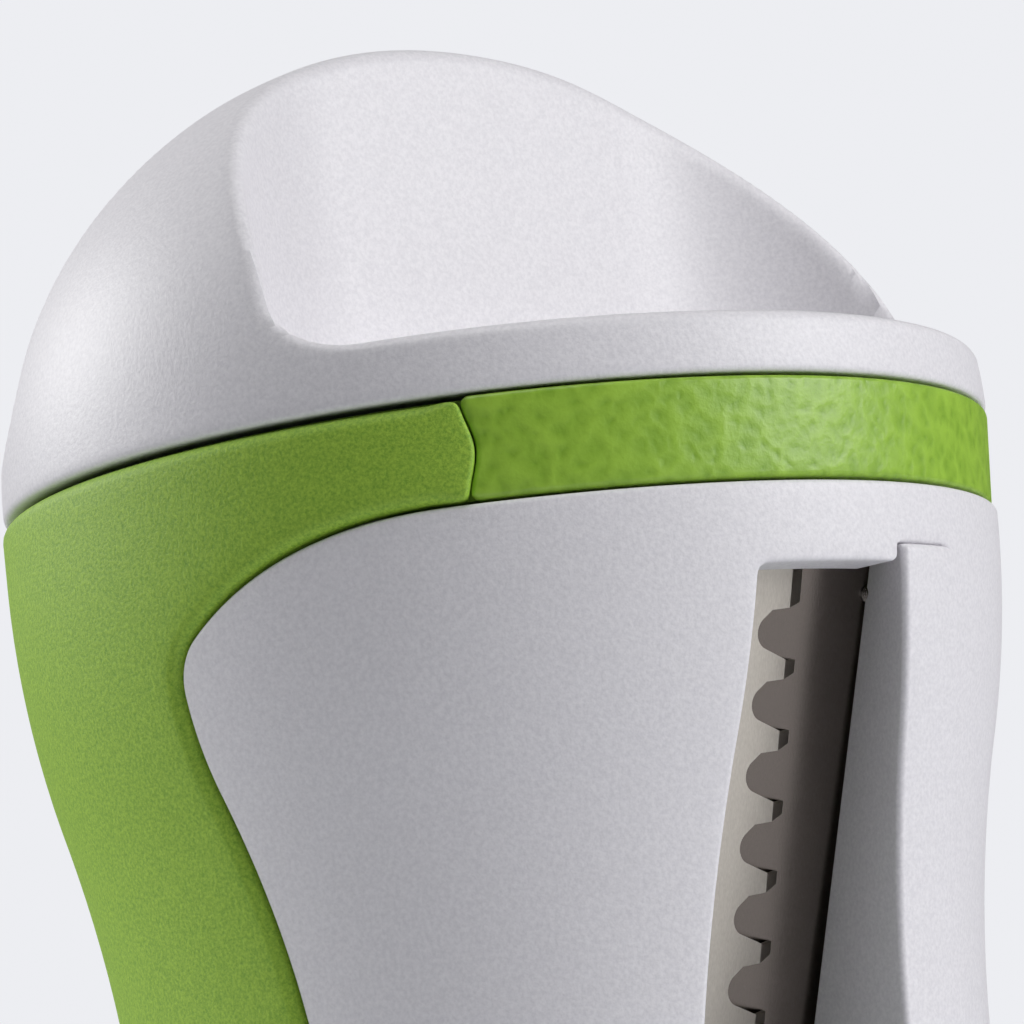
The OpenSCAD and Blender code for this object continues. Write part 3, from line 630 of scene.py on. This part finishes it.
RIM_CORE, RIM_BORE = 41.1, 38.0
LEDGE_R, LEDGE_Z, LEDGE_LOW, SKIRT_R, SKIRT_Z = 37.3, 105.5, 104.6, 38.75, 107.1
MOUTH = np.array([(RIM_BORE + 1, BODY_H), (RIM_BORE, 114.2), (RIM_BORE, LEDGE_Z), (LEDGE_R, LEDGE_Z),
                  (LEDGE_R, LEDGE_LOW), (SKIRT_R, LEDGE_LOW), (SKIRT_R, SKIRT_Z), (RIM_CORE, SKIRT_Z),
                  (RIM_CORE, BODY_H), (RIM_BORE + 1, BODY_H)])
band("mouth_band", BODY_H - BAND_H, BODY_H, MOUTH, ["mouth_rim"])

# %% [markdown]
# The exit lip is a white insert at the window's right. Its outside follows the body, a little proud. A
# narrow rounded crest leads into a side wall that falls back to the blade, and the strands slide out over
# it. It is made from level sections: outer skin, crest, side wall and back are one closed line at each
# height, and the heights are stacked.

# %% Exit lip
CONE_R, NOSE_R, NOSE_TOP = 40.0, 10.9, 18.0
CONE_SLOPE = (CONE_R - NOSE_R) / (BODY_H - NOSE_TOP)
CUT_TURN = math.radians(-4.5)
LIP_PROUD = 0.6
CREST_R = 0.5
LIP_GAP = 0.15  # air between the lip and the window
LIP_LOW, LIP_TOP = WINDOW_SILL + LIP_GAP, WINDOW_TOP + LIP_RISE - LIP_GAP
WALL_TOP, WALL_LOW = 105.9, 25.0  # heights between which the foot of the side wall moves across
FOOT_X, FOOT_SHIFT, FOOT_GAP = 6.6, 4.4, 0.25


def lip_section(z):
    """Closed line of the lip at height z: corner points joined by straight runs, arcs at the corners."""
    end = min(z - LIP_LOW, LIP_TOP - z)
    radius = float(shell_radius(np.array(z))) + LIP_PROUD - 0.5 * max(0.0, 1 - end / 0.5) ** 2
    right = LIP_RIGHT - LIP_GAP - 1.2 + math.sqrt(max(0.0, 1.44 - max(0.0, 1.2 - (LIP_TOP - z)) ** 2))
    share = (WALL_TOP - z) / (WALL_TOP - WALL_LOW)
    foot = np.array([FOOT_X - FOOT_SHIFT * share, -(CONE_R - CONE_SLOPE * (BODY_H - z)) - FOOT_GAP])
    across = np.array([math.cos(CUT_TURN), math.sin(CUT_TURN)])
    back = foot + across * (right - 0.4 - foot[0]) / across[0]
    crest = np.array([LIP_LEFT, -math.sqrt(radius ** 2 - LIP_LEFT ** 2)])
    edge = np.array([right, -math.sqrt(radius ** 2 - right ** 2)])
    line = fillet([crest, edge, back, foot], [CREST_R, 0.5, 0.3, 0.3], 12)
    return line, radius


def exit_lip():
    """Stack of level sections; the outer run is bent from its chord to the body's circle."""
    ends = np.array([0.0, 0.08, 0.2, 0.35, 0.55, 0.8, 1.1])
    middle = np.linspace(LIP_LOW + 1.6, LIP_TOP - 1.6, 120)
    levels = np.concatenate([LIP_LOW + ends, middle, LIP_TOP - ends[::-1]])
    rows = []
    for z in levels:
        line, radius = lip_section(float(z))
        run = np.linspace(0, 1, 14)[1:-1, None]
        first, last = line[11], line[12]
        skin_run = first + (last - first) * run
        skin_run[:, 1] = -np.sqrt(radius ** 2 - skin_run[:, 0] ** 2)
        wall = line[-1] + (line[0] - line[-1]) * np.linspace(0, 1, 16)[1:-1, None]
        row = np.concatenate([line[:12], skin_run, line[12:], wall])
        rows.append(np.column_stack([row, np.full(len(row), z)]))
    sheet = np.array(rows)
    faces = grid_faces(sheet.shape[0], sheet.shape[1], True).tolist()
    count = sheet.shape[1]
    faces += [list(range(count))[::-1], list(range(count * (len(levels) - 1), count * len(levels)))]
    return make_piece("lip", sheet.reshape(-1, 3), faces, WHITE, "body", ["exit_lip"])


exit_lip()

# %% [markdown]
# The lid is a dome with a deep finger scoop on each side of a fin. All its edges are generously rounded,
# which is hard to bevel but easy to say as a formula: the solid is where the dome's function and the
# scoops' functions are both on the inner side, joined with a rounding of a set radius. Rays from a line
# inside the fin are stopped where that formula crosses zero, and each fan of rays becomes a column.

# %% Formula of the dome
DOME_R, DOME_H, FULLNESS = 43.0, 38.4, 2.15
FIN_HALF, SCOOP_R, SCOOP_HALF, FLOOR = 3.1, 22.3, 39.2, 5.4
LOW_EDGE_R, HIGH_EDGE_R = 1.0, 1.5


def round_join(a, b, radius):
    """Intersection of two distances with a circular rounding of the given radius where both are near 0."""
    corner = np.hypot(np.maximum(a + radius, 0), np.maximum(b + radius, 0))
    return np.minimum(np.maximum(a, b), -radius) + corner


def scoop_distance(x, y, z):
    """Distance to the finger scoops, negative inside: a rounded rectangle seen from above, over the floor."""
    a = np.abs(x) - (SCOOP_HALF - SCOOP_R)
    b = FIN_HALF + SCOOP_R - np.abs(y)
    plan = np.hypot(np.maximum(a, 0), np.maximum(b, 0)) + np.minimum(np.maximum(a, b), 0) - SCOOP_R
    return round_join(plan, FLOOR - z, 4.5)


def dome_distance(x, y, z):
    """Distance to the superellipse dome along the ray from its centre, negative inside."""
    rho = np.hypot(x, y)
    level = ((rho / DOME_R) ** FULLNESS + (np.maximum(z, 0) / DOME_H) ** FULLNESS) ** (1 / FULLNESS)
    return np.sqrt(rho ** 2 + z ** 2) * (1 - 1 / np.maximum(level, 1e-6))


def lid_solid(x, y, z):
    """Dome less scoops; the edge radius grows smoothly from LOW_EDGE_R at the floor to HIGH_EDGE_R."""
    rise = np.clip((z - FLOOR) / 6.0, 0, 1)
    radius = LOW_EDGE_R + (HIGH_EDGE_R - LOW_EDGE_R) * rise * rise * (3 - 2 * rise)
    return round_join(dome_distance(x, y, z), -scoop_distance(x, y, z), radius)


# %% [markdown]
# The rays start on a line inside the fin, because every point of the dome can be seen from there. They are
# spread from level to straight up, the crossing is found by halving, and each ray fan is then spaced
# evenly. The foot of the dome and its flat underside are plain rings added below.

# %% Dome of the lid
UNDER_Z, UNDER_R, FOOT_CORNER = 2.55, 40.6, 0.5


def fan_starts(half, straight, fan):
    """Origins and level directions of the ray fans round a line of half-length half along x."""
    x = np.linspace(half, -half, straight, endpoint=False)
    t = np.linspace(0, math.pi, fan, endpoint=False)
    one = np.column_stack([x, np.zeros(straight), np.ones(straight)])
    left = np.column_stack([np.full(fan, -half), -np.sin(t), np.cos(t)])
    both = np.concatenate([one, left])
    return np.concatenate([both, both * [-1, -1, -1]])


def lid_columns():
    """For each fan, the points where rays leave the solid, from level to straight up, evenly spread."""
    starts = fan_starts(33.0, 100, 90)
    e = np.radians(np.linspace(0.0, 90.0, 640))
    near = np.zeros((len(starts), len(e)))
    far = np.full_like(near, 70.0)

    def at(t):
        level = t * np.cos(e)
        return (starts[:, :1] + starts[:, 1:2] * level, starts[:, 2:] * level, 3.0 + t * np.sin(e))

    for _ in range(34):
        middle = (near + far) / 2
        outside = lid_solid(*at(middle)) > 0
        near, far = np.where(outside, near, middle), np.where(outside, middle, far)
    line = np.stack(at(near), -1)
    step = np.linalg.norm(np.diff(line, axis=1), axis=2)
    run = np.concatenate([np.zeros((len(line), 1)), np.cumsum(step, 1)], 1)
    share = np.linspace(0, 1, 190)
    return np.array([[np.interp(share * r[-1], r, l[:, k]) for k in range(3)] for r, l in zip(run, line)])


def lid_dome():
    """Columns from the rays, with the dome's foot and a flat underside added below them."""
    upper = lid_columns().transpose(2, 0, 1)
    angle = np.arctan2(upper[0, :, 1], upper[0, :, 0])
    t = np.linspace(0, math.pi / 2, 5)
    foot_r, low = DOME_R - 0.02, PART_GAP
    profile = [(0.0, UNDER_Z), (20.0, UNDER_Z), (UNDER_R, UNDER_Z), (UNDER_R, low + 0.3),
               (UNDER_R + 0.3, low), (foot_r - FOOT_CORNER, low)]
    profile += [(foot_r - FOOT_CORNER + FOOT_CORNER * math.sin(a), low + FOOT_CORNER * (1 - math.cos(a)))
                for a in t[1:]]
    profile += [(DOME_R * (1 - (z / DOME_H) ** FULLNESS) ** (1 / FULLNESS), z) for z in (1.4, 2.2)]
    profile = np.array(profile)
    r, z = profile[:, :1], profile[:, 1:]
    lower = np.stack([r * np.cos(angle), r * np.sin(angle), np.broadcast_to(z, (len(r), len(angle)))], -1)
    sheet = np.concatenate([lower, upper]) + [0, 0, BODY_H]
    faces = grid_faces(sheet.shape[0], sheet.shape[1], True)
    points = sheet.reshape(-1, 3)
    piece = make_piece("dome", points, faces.tolist(), WHITE, "lid", ["lid_dome"], sharp=50)
    co = np.zeros(len(piece.data.vertices) * 3)
    piece.data.vertices.foreach_get("co", co)
    x, y, z = (co.reshape(-1, 3) / MM - [0, 0, BODY_H]).T
    polish = np.clip(0.5 - dome_distance(x, y, z) - np.abs(scoop_distance(x, y, z)), 0, 1)
    layer = piece.data.attributes.new("polish", "FLOAT", "POINT")
    layer.data.foreach_set("value", np.where(z < 3, 0, polish).astype(np.float32))
    return piece


lid_dome()

# %% [markdown]
# The nodes whose CAD shape is already right stay, and only get their finish.

# %% Finishes of the carried nodes
FINISH = {
    "base_ring": LEATHER_GREEN, "foot_ring": SOFT_GREEN, "base_screws": PIN_STEEL, "funnel": SMOOTH_GREEN,
    "comb": COMB_STEEL, "comb_screws": PIN_STEEL, "blade": BLADE_STEEL_PAINTED_SHADE, "blade_screws": PIN_STEEL,
    "lid_plate": WHITE, "lid_screws": PIN_STEEL, "lid_seal": SOFT_GREEN, "pin_carrier": SMOOTH_GREEN,
    "pin_backing": PIN_STEEL, "carrier_screws": PIN_STEEL, "food_pins": PIN_STEEL, "centre_pin": PIN_STEEL,
}
for node, finish in FINISH.items():
    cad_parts[node].data.materials.clear()
    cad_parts[node].data.materials.append(finish)
print("finished", len(FINISH), "carried nodes")

# %% [markdown]
# The camera stands close to the slicer with a long lens, looks slightly up at it and is rolled a little,
# so the body leans in the frame.

# %% Camera
def place_camera(turn, yaw, pitch, roll, distance, height, focal):
    """Looks along the direction (yaw, pitch) rolled about it, all turned about the slicer's axis."""
    turn, yaw, pitch, roll = (math.radians(v) for v in (turn, yaw, pitch, roll))
    ahead = Vector((math.sin(yaw) * math.cos(pitch), math.cos(yaw) * math.cos(pitch), math.sin(pitch)))
    side = Vector((math.cos(yaw), -math.sin(yaw), 0))
    up = side.cross(ahead)
    right = side * math.cos(roll) + up * math.sin(roll)
    above = up * math.cos(roll) - side * math.sin(roll)
    about = Matrix.Rotation(turn, 3, "Z")
    axes = [about @ right, about @ above, -(about @ ahead)]
    position = about @ Vector((0, -distance, 0)) + Vector((0, 0, height))
    data = bpy.data.cameras.new("camera")
    camera = bpy.data.objects.new("camera", data)
    bpy.context.scene.collection.objects.link(camera)
    rows = [[*(axis[i] for axis in axes), position[i]] for i in range(3)]
    camera.matrix_world = Matrix(rows + [[0, 0, 0, 1]])
    data.sensor_width, data.lens, data.clip_start = 36, focal, 0.01
    bpy.context.scene.camera = camera
    return camera


CAMERA = place_camera(turn=-43, yaw=0.18, pitch=8.63, roll=-6.74, distance=0.32, height=0.0636, focal=129.97)
print("camera at", [round(v, 3) for v in CAMERA.matrix_world.translation])

# %% [markdown]
# The light is that of a product studio: a soft light behind the left, another in front at the right, one
# above, and little from the front left, so the middle of the body is a cool grey between two bright
# sides. The room looks pale but casts little light. The standard view keeps white from turning grey.

# %% Light and floor
def soft_light(name, position, target, size, power, colour):
    """Square area light of a given size that faces its target."""
    data = bpy.data.lights.new(name, "AREA")
    data.shape, data.size, data.energy = "SQUARE", size, power
    data.color = linear(colour)[:3]
    light = bpy.data.objects.new(name, data)
    bpy.context.scene.collection.objects.link(light)
    light.location = position
    light.rotation_euler = (Vector(target) - Vector(position)).to_track_quat("-Z", "Y").to_euler()
    return light


def pale_room(colour, seen, cast):
    """World of one pale colour: the camera sees it at strength seen, the slicer is lit with strength cast."""
    world = bpy.data.worlds.new("pale_room")
    bpy.context.scene.world = world
    world.use_nodes = True
    sky = world.node_tree.nodes["Background"]
    sky.inputs["Color"].default_value = linear(colour)
    ray = add_node(world.node_tree, "ShaderNodeLightPath")
    level = add_node(world.node_tree, "ShaderNodeMapRange", {"Value": (ray, "Is Camera Ray")},
                     To_Min=cast, To_Max=seen)
    world.node_tree.links.new(level.outputs["Result"], sky.inputs["Strength"])


def floor(radius):
    """Disc of matt pale board under the slicer, a grid of rings and spokes closed at its middle."""
    angle = np.linspace(0, 2 * math.pi, 96, endpoint=False)
    r = np.array([0.0, 0.2, 0.5, 1.0])[:, None] * radius
    sheet = np.stack([r * np.cos(angle), r * np.sin(angle), np.full((4, 96), -0.00005)], -1)
    mesh = bpy.data.meshes.new("floor")
    mesh.from_pydata(sheet.reshape(-1, 3).tolist(), [], grid_faces(4, 96, True).tolist())
    material, tree, shader, place = start_material("pale_board", 0.8)
    shader.inputs["Base Color"].default_value = linear("#EEEFF3")
    mesh.materials.append(material)
    board = bpy.data.objects.new("floor", mesh)
    bpy.context.scene.collection.objects.link(board)
    return board


bpy.context.scene.view_settings.view_transform = "Standard"
pale_room("#EFF0F4", 0.98, 0.1)
TARGET = (0, 0, 0.1)
soft_light("left_window", (-0.4, 0.7, 0.5), TARGET, 0.4, 5.6, "#FFFFFF")
soft_light("right_window", (0.34, -0.62, 0.3), TARGET, 0.4, 3.7, "#FFFFFF")
soft_light("top", (-0.15, -0.15, 0.85), TARGET, 0.5, 2.5, "#FFFFFF")
floor(0.42)
